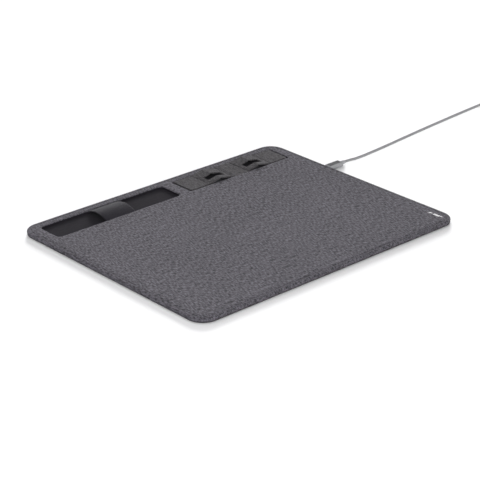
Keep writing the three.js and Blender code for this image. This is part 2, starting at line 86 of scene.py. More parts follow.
def make_camera():
    data = bpy.data.cameras.new("camera")
    data.sensor_width = 36
    data.lens = CAMERA_LENS
    data.clip_end = 50
    camera = add_object("camera", data)
    level = math.cos(CAMERA_ELEVATION)
    back = Vector((
        math.sin(CAMERA_AZIMUTH) * level, -math.cos(CAMERA_AZIMUTH) * level, math.sin(CAMERA_ELEVATION),
    ))
    camera.location = CAMERA_TARGET + back * CAMERA_DISTANCE
    camera.rotation_euler = back.to_track_quat("Z", "Y").to_euler()
    scene.camera = camera


make_camera()


# ---- shader tools ----

def colour(red, green, blue):
    """A display colour, 0 to 255, as the linear colour that shaders work in."""
    linear = [((c / 255 + 0.055) / 1.055) ** 2.4 if c > 10 else c / 255 / 12.92 for c in (red, green, blue)]
    return (*linear, 1)


def shade(rgba, factor):
    return (*[min(1, c * factor) for c in rgba[:3]], 1)


class Shader:
    """A material's nodes. `put` adds one, sets its inputs, and links those given as another node's output."""

    def __init__(self, name, **settings):
        self.material = bpy.data.materials.new(name)
        self.material.use_nodes = True
        self.tree = self.material.node_tree
        self.surface = self.tree.nodes["Principled BSDF"]
        self.place = self.put("ShaderNodeTexCoord").outputs["Object"]
        for key, value in settings.items():
            self.surface.inputs[key.replace("_", " ")].default_value = value

    def put(self, kind, inputs=None, **settings):
        node = self.tree.nodes.new(kind)
        for key, value in settings.items():
            setattr(node, key, value)
        for key, value in (inputs or {}).items():
            self.feed(node.inputs[key], value)
        return node

    def feed(self, socket, value):
        if isinstance(value, bpy.types.NodeSocket):
            self.tree.links.new(value, socket)
        else:
            socket.default_value = value

    def math(self, operation, a, b=0.0, c=0.0):
        node = self.put("ShaderNodeMath", {0: a, 1: b, 2: c}, operation=operation)
        return node.outputs[0]

    def stretched(self, scale):
        """Object coordinates multiplied by a scale for each axis, in features per metre."""
        return self.put("ShaderNodeVectorMath", {0: self.place, 1: scale}, operation="MULTIPLY").outputs[0]

    def noise(self, scale, detail=2.0, roughness=0.5, place=None):
        return self.put("ShaderNodeTexNoise", {
            "Vector": place or self.place, "Scale": scale, "Detail": detail, "Roughness": roughness,
        }).outputs[0]

    def remap(self, value, low, high, to_low=0.0, to_high=1.0):
        return self.put("ShaderNodeMapRange", {
            "Value": value, "From Min": low, "From Max": high, "To Min": to_low, "To Max": to_high,
        }).outputs[0]

    def mix(self, factor, a, b):
        """Two colours, in the node's sockets 6 and 7, mixed by a number."""
        return self.put("ShaderNodeMix", {"Factor": factor, 6: a, 7: b}, data_type="RGBA").outputs[2]

    def blend(self, factor, a, b):
        """Two numbers mixed by a third."""
        return self.math("MULTIPLY_ADD", factor, self.math("SUBTRACT", b, a), a)

    def ridges(self, value, pitch=1.0):
        """Rounded ridges, 0 to 1, one to each `pitch` of the value."""
        return self.math("ABSOLUTE", self.math("SINE", self.math("MULTIPLY", value, math.pi / pitch)))

    def weave(self, pitch):
        """The height of a plain weave, 0 to 1, and which thread is on top. Threads are `pitch` apart."""
        scale = 1 / (pitch * MM)
        axes = self.put("ShaderNodeSeparateXYZ", {0: self.stretched((scale, scale, scale))}).outputs
        across = self.math("ADD", axes[0], axes[2])
        along = self.math("ADD", axes[1], axes[2])
        warp, weft = self.ridges(across), self.ridges(along)
        cell = self.math("ADD", self.math("FLOOR", across), self.math("FLOOR", along))
        top = self.math("FLOORED_MODULO", cell, 2.0)
        dip = self.math("MULTIPLY", warp, weft)
        thread = self.blend(top, warp, weft)
        return self.blend(0.5, thread, dip), top

    def finish(self, base, bump, roughness, depth=0.1, strength=0.6):
        self.feed(self.surface.inputs["Base Color"], base)
        self.feed(self.surface.inputs["Roughness"], roughness)
        if bump is not None:
            node = self.put("ShaderNodeBump", {"Height": bump, "Distance": depth * MM, "Strength": strength})
            self.feed(self.surface.inputs["Normal"], node.outputs[0])
        return self.material


def woven(name, base, contrast, pitch, fleck, fuzz=0.25, depth=0.14):
    """A melange cloth: fibres of a lighter and a darker shade that run along both sets of threads."""
    shader = Shader(name, Sheen_Weight=fuzz, Sheen_Roughness=0.6, Specular_IOR_Level=0.0)
    height, top = shader.weave(pitch)
    long_way, short_way = 1000 / (fleck * 3), 1000 / fleck
    along_x = shader.noise(1.0, 1.0, 0.5, shader.stretched((long_way, short_way, short_way)))
    along_y = shader.noise(1.0, 1.0, 0.5, shader.stretched((short_way, long_way, short_way)))
    fibres = shader.blend(shader.remap(top, 0, 1, 0.75, 1.0), along_x, along_y)
    broad = shader.noise(14.0, 2.0)
    tone = shader.math("ADD", shader.remap(fibres, 0.34, 0.66), shader.remap(broad, 0.3, 0.7, -0.06, 0.06))
    deep = shader.mix(tone, shade(base, 1 - contrast), shade(base, 1 + contrast))
    # Where the weave is low, between the threads, the colour is painted darker: painted shade.
    base_colour = shader.mix(shader.remap(height, 0.0, 0.5), shade(base, 0.55), deep)
    relief = shader.math("ADD", height, shader.math("MULTIPLY", fibres, 0.7))
    rough = shader.remap(fibres, 0.3, 0.7, 0.98, 0.86)
    return shader.finish(base_colour, relief, rough, depth, 0.7)


def felted(name, base, fuzz=0.4):
    """A dense brushed cloth with a short nap."""
    shader = Shader(name, Sheen_Weight=fuzz, Sheen_Roughness=0.5, Specular_IOR_Level=0.0)
    nap = shader.noise(2600.0, 4.0, 0.7)
    swirl = shader.noise(1.0, 3.0, 0.6, shader.stretched((160, 420, 420)))
    tone = shader.blend(0.45, nap, swirl)
    base_colour = shader.mix(shader.remap(tone, 0.35, 0.65), shade(base, 0.78), shade(base, 1.24))
    return shader.finish(base_colour, tone, shader.remap(nap, 0.3, 0.7, 1.0, 0.88), 0.12, 0.6)


KNIT_PITCH = 0.55


def ribbed(name, base, pitch):
    """Elastic webbing: ridges along its length, with a fine knit across them."""
    shader = Shader(name, Sheen_Weight=0.06, Sheen_Roughness=0.5, Specular_IOR_Level=0.03)
    axes = shader.put("ShaderNodeSeparateXYZ", {0: shader.place}).outputs
    ridge = shader.ridges(axes[0], pitch * MM)
    knit = shader.ridges(axes[1], KNIT_PITCH * MM)
    fibre = shader.noise(1.0, 3.0, 0.6, shader.stretched((1400, 420, 1400)))
    height = shader.math("ADD", ridge, shader.math("MULTIPLY", knit, 0.35))
    # The grooves between the ridges are painted darker: painted shade.
    tone = shader.math("ADD", shader.remap(fibre, 0.3, 0.7), shader.remap(ridge, 0.0, 1.0, -0.3, 0.15))
    base_colour = shader.mix(tone, shade(base, 0.72), shade(base, 1.22))
    return shader.finish(base_colour, height, shader.remap(fibre, 0.3, 0.7, 0.95, 0.8), 0.16, 0.7)


def moulded(name, base, rough=0.5, grain=2200.0, depth=0.02, specular=0.4):
    """Moulded plastic or rubber with a fine spark-eroded grain and slightly polished patches."""
    shader = Shader(name, Specular_IOR_Level=specular)
    fine = shader.noise(grain, 3.0, 0.6)
    worn = shader.noise(120.0, 3.0, 0.55)
    tone = shader.blend(0.4, fine, worn)
    base_colour = shader.mix(shader.remap(tone, 0.35, 0.65), shade(base, 0.9), shade(base, 1.12))
    roughness = shader.remap(worn, 0.3, 0.7, rough + 0.08, rough - 0.07)
    return shader.finish(base_colour, fine, roughness, depth, 0.5)


def metal(name, base, rough=0.3, brushed=(90, 2600, 2600)):
    """Plated or brushed metal, with fine lines along one axis and faint handling marks."""
    shader = Shader(name, Metallic=1.0)
    lines = shader.noise(1.0, 3.0, 0.7, shader.stretched(brushed))
    marks = shader.noise(240.0, 4.0, 0.6)
    base_colour = shader.mix(shader.remap(marks, 0.4, 0.7), base, shade(base, 0.82))
    roughness = shader.remap(shader.blend(0.5, lines, marks), 0.3, 0.7, rough - 0.08, rough + 0.14)
    return shader.finish(base_colour, lines, roughness, 0.008, 0.5)


def studded_rubber(name, base):
    """The underside's anti-slip rubber: round studs close together."""
    shader = Shader(name, Specular_IOR_Level=0.3)
    studs = shader.put("ShaderNodeTexVoronoi", {"Scale": 420.0, "Randomness": 0.0}).outputs["Distance"]
    dome = shader.remap(studs, 0.18, 0.42, 1.0, 0.0)
    grain = shader.noise(1800.0, 3.0, 0.6)
    # Between the studs the colour is painted darker, and on their tops lighter: painted shade and painted
    # highlight.
    base_colour = shader.mix(dome, shade(base, 0.75), shade(base, 1.25))
    relief = shader.math("ADD", dome, shader.math("MULTIPLY", grain, 0.15))
    return shader.finish(base_colour, relief, shader.remap(grain, 0.3, 0.7, 0.85, 0.65), 0.35, 0.9)


def fibreboard(name, base):
    """Pressed grey board: short fibres and specks."""
    shader = Shader(name, Specular_IOR_Level=0.15)
    fibre = shader.noise(1.0, 4.0, 0.7, shader.stretched((700, 260, 700)))
    specks = shader.noise(1500.0, 2.0)
    tone = shader.blend(0.35, fibre, specks)
    base_colour = shader.mix(shader.remap(tone, 0.35, 0.65), shade(base, 0.8), shade(base, 1.15))
    return shader.finish(base_colour, fibre, shader.remap(specks, 0.3, 0.7, 1.0, 0.85), 0.05, 0.5)


def closed_foam(name, base):
    """Closed-cell foam: small bubbles."""
    shader = Shader(name, Specular_IOR_Level=0.2)
    cells = shader.put("ShaderNodeTexVoronoi", {"Scale": 900.0}).outputs["Distance"]
    base_colour = shader.mix(shader.remap(cells, 0.0, 0.6), shade(base, 1.2), shade(base, 0.7))
    return shader.finish(base_colour, cells, shader.remap(cells, 0.0, 0.6, 0.9, 1.0), 0.2, 0.6)


def wound_wire(name, base, centre, pitch):
    """Enamelled wire wound flat: bright rings about the coil's middle."""
    shader = Shader(name, Metallic=0.9, Coat_Weight=0.4, Coat_Roughness=0.2)
    offset = shader.put(
        "ShaderNodeVectorMath", {0: shader.place, 1: [c * MM for c in centre]}, operation="SUBTRACT",
    ).outputs[0]
    radius = shader.put("ShaderNodeVectorMath", {0: offset}, operation="LENGTH").outputs["Value"]
    strand = shader.ridges(radius, pitch * MM)
    grime = shader.noise(500.0, 3.0)
    # The gaps between the turns are painted nearly black: painted shade.
    base_colour = shader.mix(shader.remap(strand, 0.0, 0.7), shade(base, 0.3), base)
    return shader.finish(base_colour, strand, shader.remap(grime, 0.3, 0.7, 0.25, 0.45), 0.2, 0.8)


def printed_circuit(name, base, copper):
    """Solder mask with tracks and plated pads showing through it."""
    shader = Shader(name, Specular_IOR_Level=0.5, Coat_Weight=0.3, Coat_Roughness=0.15)
    axes = shader.put("ShaderNodeSeparateXYZ", {0: shader.stretched((700, 700, 700))}).outputs
    grid = shader.put("ShaderNodeTexBrick", {
        "Vector": shader.place, "Scale": 260.0, "Mortar Size": 0.035, "Brick Width": 0.9, "Row Height": 0.35,
    })
    pads = shader.put("ShaderNodeTexVoronoi", {"Scale": 380.0, "Randomness": 0.35}).outputs["Distance"]
    ripple = shader.math("SINE", axes[0])
    tracks = shader.mix(grid.outputs["Fac"], shade(base, 0.8), shade(base, 1.6))
    base_colour = shader.mix(shader.remap(pads, 0.16, 0.12), tracks, copper)
    rough = shader.remap(ripple, -1, 1, 0.35, 0.45)
    return shader.finish(base_colour, grid.outputs["Fac"], rough, 0.03, 0.5)


def printed_ink(name, base):
    """Screen-printed ink that has sunk a little into the cloth."""
    shader = Shader(name, Specular_IOR_Level=0.25)
    height, _ = shader.weave(0.5)
    grain = shader.noise(1500.0, 3.0, 0.6)
    base_colour = shader.mix(shader.remap(grain, 0.3, 0.62), shade(base, 0.82), base)
    return shader.finish(base_colour, height, shader.remap(grain, 0.3, 0.7, 0.8, 0.6), 0.05, 0.4)


def matte_floor(name, base):
    """A seamless studio sweep, with the faintest mottling."""
    shader = Shader(name, Specular_IOR_Level=0.1)
    mottle = shader.noise(3.0, 2.0)
    base_colour = shader.mix(mottle, shade(base, 0.995), base)
    return shader.finish(base_colour, None, shader.remap(mottle, 0.3, 0.7, 0.85, 0.9))


MAT_GREY = colour(86, 83.5, 90)
PANEL_GREY = colour(76, 74, 76.5)
COIL_CENTRE = (box_of("charging_coil")[0] + box_of("charging_coil")[1]) / 2

LOOKS = {
    "heather_fabric": woven("heather_cloth", MAT_GREY, 0.74, 0.6, 1.35, 0.08),
    "stand_fabric": woven("stand_cloth", PANEL_GREY, 0.46, 0.5, 1.3, 0.06, 0.10),
    # Black for the mat's lower lip: partly the binding's colour, partly painted shade along the floor.
    "edge_binding_and_shade": felted("edge_binding_and_shade", colour(24, 23, 26), 0.02),
    "panel_back": felted("panel_back_felt", colour(30, 29, 32), 0.02),
    "lining": felted("lining_felt", colour(33, 31, 36), 0.05),
    "elastic": ribbed("elastic_webbing", colour(37.5, 35.5, 42), 1.05),
    "thread": woven("sewing_thread", colour(70, 68, 73), 0.25, 0.22, 0.4, 0.1, 0.04),
    "base_rubber": studded_rubber("anti_slip_rubber", colour(38, 38, 40)),
    "foam": closed_foam("core_foam", colour(60, 60, 60)),
    "board": fibreboard("greyboard", colour(150, 142, 128)),
    "steel": metal("nickel_steel", colour(190, 192, 195)),
    "black_plastic": moulded("black_plastic", colour(30, 30, 32), 0.45),
    "ferrite": moulded("ferrite", colour(46, 45, 44), 0.55, 900.0, 0.03),
    "copper": wound_wire("copper_wire", colour(200, 120, 76), COIL_CENTRE, 1.667),
    "circuit": printed_circuit("circuit_board", colour(22, 68, 44), colour(196, 160, 96)),
    "chip": moulded("chip_resin", colour(24, 24, 26), 0.4, 3000.0, 0.008),
    "ceramic": moulded("ceramic", colour(182, 152, 120), 0.35, 2600.0, 0.008),
    "plug_plastic": moulded("plug_plastic", colour(150, 151, 153), 0.85, 1800.0, 0.025, 0.03),
    # The plugs' flat tops: the same plastic, painted darker as painted shade.
    "plug_top_painted_shade": moulded("plug_top_painted_shade", colour(82, 82, 84), 0.85, 2600.0, 0.03, 0.03),
    "cable_jacket": moulded("cable_jacket", colour(138, 138, 140), 0.85, 2400.0, 0.02, 0.05),
    "tie_fabric": felted("tie_loop_cloth", colour(34, 34, 36), 0.3),
    "ink": printed_ink("white_ink", colour(236, 236, 238)),
}


# ---- mesh tools ----

def rectangle(low, high, radius):
    corners = (low[0], low[1]), (high[0], low[1]), (high[0], high[1]), (low[0], high[1])
    return [(x, y, radius) for x, y in corners]


def outline(corners, step=8.0, arc_points=8):
    """A closed anticlockwise line round corners (x, y, radius), as points with their outward normals."""
    arcs = []
    for i, (x, y, radius) in enumerate(corners):
        here = Vector((x, y))
        into = (here - Vector(corners[i - 1][:2])).normalized()
        out = (Vector(corners[(i + 1) % len(corners)][:2]) - here).normalized()
        side = math.copysign(1, into.cross(out))
        turn = into.angle(out)
        normal = Vector((into.y, -into.x))
        centre = here - into * radius * math.tan(turn / 2) - normal * radius * side
        arc = []
        for k in range(arc_points + 1):
            angle = side * turn * k / arc_points
            way = Vector((
                normal.x * math.cos(angle) - normal.y * math.sin(angle),
                normal.x * math.sin(angle) + normal.y * math.cos(angle),
            ))
            arc.append((centre + way * radius * side, way))
        arcs.append(arc)
    points = []
    for arc, following in zip(arcs, arcs[1:] + arcs[:1]):
        points.extend(arc)
        (start, normal), (end, _) = arc[-1], following[0]
        pieces = max(1, round((end - start).length / step))
        points.extend((start.lerp(end, k / pieces), normal) for k in range(1, pieces))
    return points


def ring(line, inset, height):
    """The points of an outline, moved inwards and lifted."""
    return [(*(point - normal * inset), height) for point, normal in line]


def inside(points, polygon):
    x, y = points[:, :1], points[:, 1:2]
    x0, y0 = polygon.T
    x1, y1 = np.roll(polygon, -1, axis=0).T
    rise = np.where(y1 == y0, 1e-12, y1 - y0)
    crossed = ((y0 > y) != (y1 > y)) & (x < (x1 - x0) * (y - y0) / rise + x0)
    return crossed.sum(1) % 2 == 1


class Skin:
    """A mesh in the making, in millimetres: rows of points joined by faces, and filled flat areas."""

    def __init__(self):
        self.points = []
        self.faces = []

    def row(self, points):
        first = len(self.points)
        self.points.extend(tuple(p) for p in points)
        return list(range(first, len(self.points)))

    def join(self, lower, upper, closed=True):
        count = len(lower)
        for i in range(count if closed else count - 1):
            j = (i + 1) % count
            self.faces.append((lower[i], lower[j], upper[j], upper[i]))

    def rows(self, rows, closed=True, looped=False):
        """Rows joined each to the next, and the last to the first if looped."""
        made = [self.row(points) for points in rows]
        for lower, upper in zip(made, made[1:] + (made[:1] if looped else [])):
            self.join(lower, upper, closed)
        return made

    def profile(self, line, sections):
        """An outline carried through (inset, height) sections."""
        return self.rows([ring(line, inset, height) for inset, height in sections])

    def cap(self, indices, up=True):
        """A fan from the middle of a row."""
        middle = len(self.points)
        self.points.append(tuple(np.mean([self.points[i] for i in indices], axis=0)))
        for i, j in zip(indices, indices[1:] + indices[:1]):
            self.faces.append((i, j, middle) if up else (j, i, middle))

    def tube(self, rows):
        """Rows joined each to the next, and closed at both ends."""
        made = self.rows(rows)
        self.cap(made[0], up=False)
        self.cap(made[-1])
        return self

    def fill(self, outer, holes=(), step=8.0, up=True):
        """Triangles inside a level row of points and outside the holes, with more points `step` apart."""
        rim = list(outer) + [i for hole in holes for i in hole]
        flat = np.array([self.points[i][:2] for i in rim])
        edges, first = [], 0
        polygons = []
        for loop in (outer, *holes):
            count = len(loop)
            edges += [(first + k, first + (k + 1) % count) for k in range(count)]
            polygons.append(flat[first:first + count])
            first += count

        def within(points):
            result = inside(points, polygons[0])
            for hole in polygons[1:]:
                result &= ~inside(points, hole)
            return result

        low, high = flat.min(0), flat.max(0)
        lattice = np.array([
            (x + (step / 2 if row % 2 else 0), y)
            for row, y in enumerate(np.arange(low[1] + step / 2, high[1], step))
            for x in np.arange(low[0] + step / 3, high[0], step)
        ]).reshape(-1, 2)
        if len(lattice):
            gap = np.hypot(*(lattice[:, None, :] - flat[None]).transpose(2, 0, 1)).min(1)
            lattice = lattice[within(lattice) & (gap > step * 0.55)]
        height = self.points[outer[0]][2]
        indices = rim + self.row((x, y, height) for x, y in lattice)
        places = [Vector(p) for p in np.vstack([flat, lattice])]
        made, _, faces, origins, _, _ = delaunay_2d_cdt(places, edges, [], 0, 1e-6)
        made = np.array(made)
        keep = within(np.array([made[list(face)].mean(0) for face in faces]))
        for face, kept in zip(faces, keep):
            if kept:
                corners = tuple(indices[origins[i][0]] for i in face)
                self.faces.append(corners if up else corners[::-1])

    def move(self, place, mirrored=False):
        """Every point through a function, with the faces turned over if that mirrors them."""
        self.points = [tuple(place(*point)) for point in self.points]
        if mirrored:
            self.flip()
        return self

    def flip(self):
        self.faces = [face[::-1] for face in self.faces]

    def add(self, other):
        first = len(self.points)
        self.points += other.points
        self.faces += [tuple(first + i for i in face) for face in other.faces]

    def mesh(self, name):
        mesh = bpy.data.meshes.new(name)
        mesh.from_pydata([tuple(c * MM for c in point) for point in self.points], [], self.faces)
        mesh.polygons.foreach_set("use_smooth", [True] * len(mesh.polygons))
        return mesh


def place_piece(name, skin, look, body=None, replaces=()):
    """Makes the piece, and has it ride on a body if one is given."""
    mesh = skin.mesh(name)
    mesh.materials.append(LOOKS[look])
    thing = add_object(name, mesh)
    if body:
        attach(thing, body)
    if replaces:
        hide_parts(*replaces)
    return thing


def second_look(thing, look, chosen):
    """Gives a piece's chosen faces a second material."""
    thing.data.materials.append(LOOKS[look])
    for face in thing.data.polygons:
        face.material_index = int(chosen(face))


STITCH = {"pitch": 2.9, "length": 2.1, "radius": 0.2}
FINE_STITCH = {"pitch": 2.2, "length": 1.6, "radius": 0.14}


def stitches(path, closed=False, spec=STITCH):
    """Stitches along a line of points: short threads that rise from the cloth and dip back into it."""
    skin = Skin()
    line = [Vector(p) for p in path]
    if closed:
        line.append(line[0])
    lengths = [(b - a).length for a, b in zip(line, line[1:])]
    total = sum(lengths)
    count = max(1, int(total / spec["pitch"]))
    starts = np.concatenate([[0], np.cumsum(lengths)])

    def at(distance):
        i = min(int(np.searchsorted(starts, distance, side="right")) - 1, len(lengths) - 1)
        return line[i].lerp(line[i + 1], (distance - starts[i]) / lengths[i])

    up = Vector((0, 0, 1))
    for k in range(count):
        middle = (k + 0.5) * total / count
        rows = []
        for share in (-0.5, -0.36, 0.0, 0.36, 0.5):
            here = at(middle + share * spec["length"])
            ahead = (at(min(total, middle + 0.4)) - at(max(0, middle - 0.4))).normalized()
            across = ahead.cross(up).normalized()
            fullness = math.sqrt(max(0.04, 1 - (2 * share) ** 2))
            lift = up * spec["radius"] * (1.3 * fullness - 0.7)
            radius = spec["radius"] * (0.55 + 0.45 * fullness)
            rows.append([
                here + lift + across * radius * math.cos(a) + up * radius * math.sin(a)
                for a in (math.tau * s / 6 for s in range(6))
            ])
        skin.tube(rows)
    return skin


# ---- the USB cable ----

CABLE_DIAMETER = 3.0
CABLE_ROUTE = [
    (201.6, 50.0, 2.75), (206, 50.0, 2.7), (211, 50.05, 2.35), (217, 50.15, 1.85), (224, 50.3, 1.6),
    (232, 50.5, 1.55), (241, 51.1, 1.55), (252, 52.0, 1.55), (264, 53.1, 1.55), (278, 54.5, 1.55),
    (294, 56.2, 1.55), (312, 58.2, 1.55), (332, 60.3, 1.55), (354, 62.5, 1.55), (376, 64.5, 1.55),
    (398, 66.5, 1.55), (420, 68.3, 1.55), (440, 69.8, 1.55), (456, 70.9, 1.55), (468, 71.5, 1.8),
]
CABLE_TAIL = [
    (501.25, 45.4, 5.35), (501.9, 41.4, 5.1),
    (502.3, 37.4, 4.8), (502.4, 33.4, 4.4), (502.4, 29.6, 4.0), (502.4, 26.2, 3.87),
]
# Angles are in degrees along the winding. Sideways steps start at `inward` and `outward`, and the first
# of the upper layer is half a pitch.
WINDING = {
    "pitch": 3.1, "outer": 21.2, "low": 2.45, "high": 5.45, "turned": 2250, "spacing": 20,
    "inward": (200, 560, 920), "half_step": 1220, "outward": (1640, 2000), "step_width": 60,
    "climb": 1170, "climb_width": 80,
}


def eased(angle, start, width):
    """0 before the start, 1 after the width, and smooth between them."""
    share = min(1, max(0, (angle - start) / width))
    return share * share * (3 - 2 * share)


def winding():
    """The coil, clockwise from its +Y side: a lower layer wound inwards, and an upper one outwards."""
    low, high = box_of("cable_coil")
    centre = (low + high) / 2
    width = WINDING["step_width"]
    points = []
    for angle in range(0, WINDING["turned"] + 1, WINDING["spacing"]):
        inward = sum(eased(angle, start, width) for start in WINDING["inward"])
        half_step = 0.5 * eased(angle, WINDING["half_step"], width)
        outward = sum((eased(angle, start, width) for start in WINDING["outward"]), half_step)
        radius = WINDING["outer"] + WINDING["pitch"] * (outward - inward)
        climbed = eased(angle, WINDING["climb"], WINDING["climb_width"])
        height = WINDING["low"] + (WINDING["high"] - WINDING["low"]) * climbed
        turn = math.radians(angle)
        points.append((centre.x + radius * math.sin(turn), centre.y + radius * math.cos(turn), height))
    return points


def make_cable():
    data = bpy.data.curves.new("usb_lead", "CURVE")
    data.dimensions = "3D"
    data.bevel_depth = CABLE_DIAMETER / 2 * MM
    data.bevel_resolution = 4
    data.resolution_u = 6
    data.use_fill_caps = True
    points = CABLE_ROUTE + winding() + CABLE_TAIL
    spline = data.splines.new("BEZIER")
    spline.bezier_points.add(len(points) - 1)
    for knot, point in zip(spline.bezier_points, points):
        knot.co = Vector(point) * MM
        knot.handle_left_type = "AUTO"
        knot.handle_right_type = "AUTO"
    data.materials.append(LOOKS["cable_jacket"])
    cable = add_object("usb_lead", data)
    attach(cable, "usb_plug")
    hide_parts("usb_cable", "cable_coil", "cable_tail")
    # Its shadow would fall far out over the bare floor, since the main light is so low.
    cable.visible_shadow = False
    return cable


cable = make_cable()


# ---- plugs on the cable ----

def section(width, height, corner, arc_points=5):
    """A rounded rectangle about the origin."""
    half = (width / 2, height / 2)
    line = outline(rectangle((-half[0], -half[1]), half, corner), step=1.2, arc_points=arc_points)
    return [point for point, _ in line]


def scaled(points, across, up):
    return [Vector((point.x * across, point.y * up)) for point in points]


def lofted(sections, at):
    """Sections (distance, outline points) joined along an axis. `at` places a section's point."""
    return Skin().tube([[at(distance, point) for point in points] for distance, points in sections])


# Shares of a grip's length, with its width and height there.
OVERMOULD_SHAPE = [
    (0.0, 0.86, 0.80), (0.012, 0.95, 0.92), (0.035, 0.99, 0.98), (0.07, 1.0, 1.0), (0.30, 1.0, 1.0),
    (0.36, 0.985, 1.0), (0.38, 0.95, 1.0), (0.40, 0.95, 1.0), (0.42, 0.985, 1.0), (0.44, 0.985, 1.0),
    (0.46, 0.95, 1.0), (0.48, 0.95, 1.0), (0.50, 0.985, 1.0), (0.56, 1.0, 1.0), (0.90, 1.0, 1.0),
    (0.94, 0.99, 0.99), (0.965, 0.95, 0.96), (0.985, 0.86, 0.90), (1.0, 0.70, 0.78),
]
# A face whose normal's upward part is above this is on the flat top, which is painted darker: painted shade.
FLAT_TOP = 0.995


def overmould(name, node, axis, corner):
    """A plug's grip: rounded at both ends, with two thumb grooves and painted shade along its flat top."""
    low, high = box_of(node)
    middle = (low + high) / 2
    size = high - low
    along, across = (0, 1) if axis == "x" else (1, 0)
    facing = 1 if axis == "x" else -1
    full = section(size[across], size.z, corner)
    sections = [(share, scaled(full, width, height)) for share, width, height in OVERMOULD_SHAPE]

    def at(share, point):
        place = [0, 0, middle.z + point.y]
        place[along] = low[along] + size[along] * share
        place[across] = middle[across] + point.x * facing
        return place

    grip = place_piece(name, lofted(sections, at), "plug_plastic", "usb_plug", [node])
    # The flat top is painted darker: painted shade.
    second_look(grip, "plug_top_painted_shade", lambda face: face.normal.z > FLAT_TOP)
    return grip


SLEEVE = {"wide": 2.3, "narrow": 1.85, "slots": 3, "slot_depth": 0.28}


def sleeve(name, node, axis):
    """A strain relief: a tapered sleeve with slots round it that let it bend."""
    wide, narrow = SLEEVE["wide"], SLEEVE["narrow"]
    low, high = box_of(node)
    middle = (low + high) / 2
    length = (high - low)[0 if axis == "x" else 1]
    steps = 8 * SLEEVE["slots"]
    full = section(2, 2, 0.99)
    sections = [(0, scaled(full, wide * 0.9, wide * 0.9))]
    for k in range(steps + 1):
        share = k / steps
        depth = SLEEVE["slot_depth"] if k % 8 in (4, 5) and k < steps else 0
        radius = wide + (narrow - wide) * share - depth
        sections.append((0.02 + 0.96 * share, scaled(full, radius, radius)))
    sections.append((1, scaled(full, narrow * 0.86, narrow * 0.86)))

    def at(share, point):
        if axis == "x":
            return (low.x + length * share, middle.y + point.x, middle.z + point.y)
        return (middle.x - point.x, low.y + length * share, middle.z + point.y)

    return place_piece(name, lofted(sections, at), "plug_plastic", "usb_plug", [node])


TIE = {"thick": 0.75, "corner": 2.6, "overlap": 9.0, "slack": 0.35, "start": 1.5, "steps": 10}


def make_tie():
    """The cloth tie round the bundle of turns: a band whose free end lies over its start."""
    low, high = box_of("coil_tie")
    width = high.x - low.x
    middle = (low.x + high.x) / 2
    thick = TIE["thick"]
    top = high.z + TIE["slack"]
    corners = rectangle((low.y + thick, low.z + thick), (high.y - thick, top - thick), TIE["corner"] - thick)
    line = outline(corners, step=1.0)
    band = [
        (-0.5, 0.1), (-0.5, 0.65), (-0.46, 0.95), (-0.3, 1.0), (0.3, 1.0), (0.46, 0.95), (0.5, 0.65),
        (0.5, 0.1), (0.4, 0.0), (-0.4, 0.0),
    ]
    skin = Skin()
    skin.rows([[
        (middle + across * width, *(point + normal * (out * thick))) for across, out in band
    ] for point, normal in line], looped=True)
    tab_rows = []
    for k in range(TIE["steps"] + 1):
        share = k / TIE["steps"]
        y = low.y + TIE["start"] + TIE["overlap"] * share
        narrow = 1.0 if share < 0.8 else math.sqrt(max(0.05, 1 - ((share - 0.8) / 0.2) ** 2 * 0.8))
        lift = 0.02 + 0.25 * share * share
        tab_rows.append([
            (middle + across * width * 0.94 * narrow, y, top + lift + out * thick * 0.8)
            for across, out in band
        ])
    skin.add(Skin().tube(tab_rows))
    return place_piece("cable_tie", skin, "tie_fabric", "usb_plug", ["coil_tie"])


on_cable = [
    overmould("usb_c_grip", "usb_c_overmould", "x", 1.9),
    sleeve("usb_c_sleeve", "strain_relief", "x"),
    make_tie(),
    overmould("usb_a_grip", "usb_a_overmould", "y", 2.6),
    sleeve("usb_a_sleeve", "usb_a_relief", "y"),
    "usb_c_plug", "usb_a_plug", "usb_a_insert",
]


# ---- the mat's cloth ----

# Sections from the hem under the edge, round the lower lip, its seam and the welt, to the groove on top.
MAT_EDGE = [
    (3.0, 4.6), (3.0, 0.7), (2.5, 0.34), (1.7, 0.22), (0.95, 0.32), (0.4, 0.65), (0.22, 1.15),
    (0.4, 1.55), (0.95, 1.8), (0.45, 2.1), (0.12, 2.7), (0.0, 3.4), (0.15, 4.2), (0.7, 4.9), (1.6, 5.32),
    (2.5, 5.42), (3.2, 5.34), (3.7, 5.1), (4.0, 4.98), (4.3, 5.1), (4.9, 5.36), (5.8, 5.5),
]
# How many of those strips, from the hem on, are black: partly the binding, partly painted shade where the
# lower lip meets the floor.
BINDING_AND_SHADE_STRIPS = 6
GROOVE = {"inset": 4.0, "height": 5.0}
OPENING_EDGE = [(-2.4, 5.5), (-1.6, 5.47), (-0.95, 5.36), (-0.4, 5.14), (-0.08, 4.85), (0.0, 4.6)]
MAT_CORNER = 18.0
TRAY_CORNER = 5.0
STAND_CORNER = 1.5
LINING = 0.5
PORT = {"clear_y": 0.6, "clear_z": 0.3, "behind": 3.2, "reach": 5}


def ripple(x, y, z):
    """The cloth isn't quite flat: waves of a tenth of a millimetre on its top."""
    if z < 4.9:
        return x, y, z
    wave = math.sin(x / 23 + 0.7 * math.sin(y / 31)) * math.sin(y / 19 + 1.1) + 0.6 * math.sin((x + y) / 41)
    return x, y, z + 0.06 * wave


def mat_outline():
    return outline(rectangle(*box_of("top_cover"), MAT_CORNER), arc_points=12)


def opening_of(node, corner):
    """The inside of a liner, as an outline."""
    low, high = box_of(node)
    near, far = (low.x + LINING, low.y + LINING), (high.x - LINING, high.y - LINING)
    return outline(rectangle(near, far, corner), step=5)


